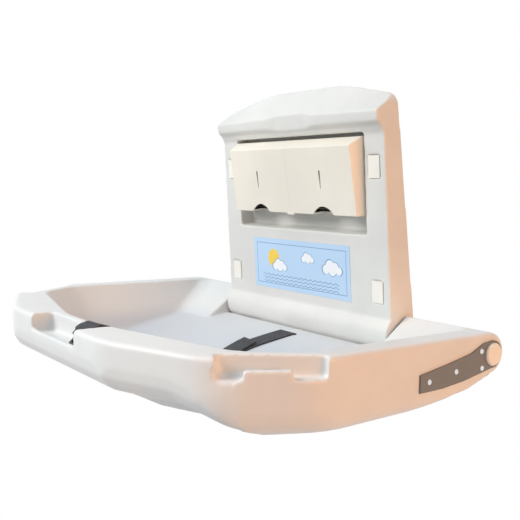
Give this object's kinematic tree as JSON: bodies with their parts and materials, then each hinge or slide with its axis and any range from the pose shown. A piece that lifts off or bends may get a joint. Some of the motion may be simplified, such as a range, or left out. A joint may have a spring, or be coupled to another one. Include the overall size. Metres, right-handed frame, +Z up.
{
  "type": "baby changing station",
  "caption": "Wall-mounted changing station: a moulded basin bed with belt folds up on a hinge against a wall unit with a liner dispenser and label plate.",
  "frame": {"origin": "on the wall face, at mid-width, level with the plane of the bed's rim at the hinge", "axes": "+X along the wall to the right as seen from the room, +Y into the wall, +Z up"},
  "size_m": [0.899, 0.5803, 0.5235],
  "materials": {
    "bed_plastic": "fine-grained satin moulding",
    "wall_plastic": "fine-grained satin moulding",
    "dispenser_plastic": "satin moulding",
    "tray_plastic": "satin moulding, dark",
    "cover_plastic": "satin moulding",
    "label_film": "printed film",
    "arm_steel": "dark powder coat",
    "zinc_steel": "zinc-plated sheet",
    "bright_steel": "bright",
    "damper_steel": "black",
    "bush_plastic": "smooth",
    "pad_rubber": "moulded rubber",
    "webbing": "woven polypropylene webbing",
    "buckle_plastic": "moulded buckle"
  },
  "bodies": {
    "wall_unit": {"wall_panel": "wall_plastic", "wall_chassis": "zinc_steel", "hinge_shaft": "bright_steel", "label_plate": "label_film", "liner_tray": "tray_plastic", "tray_screws": "bright_steel", "shaft_screw_left": "bright_steel", "shaft_screw_right": "bright_steel", "rest_bracket_left": "zinc_steel", "rest_bracket_right": "zinc_steel", "rest_pad_left": "pad_rubber", "rest_pad_right": "pad_rubber", "screw_cover_left_lower": "cover_plastic", "screw_cover_left_upper": "cover_plastic", "screw_cover_right_lower": "cover_plastic", "screw_cover_right_upper": "cover_plastic"},
    "bed": {"bed_shell": "bed_plastic", "belt_long": "webbing", "belt_short": "webbing", "belt_anchor_rear": "zinc_steel", "belt_anchor_front": "zinc_steel", "buckle_tongue": "buckle_plastic", "buckle_socket": "buckle_plastic", "hinge_arm_left": "arm_steel", "hinge_arm_right": "arm_steel", "arm_screws_left": "bright_steel", "arm_screws_right": "bright_steel", "hinge_bush_left": "bush_plastic", "hinge_bush_right": "bush_plastic", "hinge_damper_left": "damper_steel", "hinge_damper_right": "damper_steel", "hinge_cap_left": "cover_plastic", "hinge_cap_right": "cover_plastic"},
    "cover": {"dispenser_cover": "dispenser_plastic"}
  },
  "joints": [
    {"name": "bed_fold", "type": "hinge", "parent": "wall_unit", "child": "bed", "pos_m": [0, -0.035, -0.0335], "axis": [-1, 0, 0], "range_deg": [0, 81]},
    {"name": "cover_lift", "type": "slide", "parent": "wall_unit", "child": "cover", "axis": [0, 0, 1], "range_m": [0, 0.005]}
  ]
}
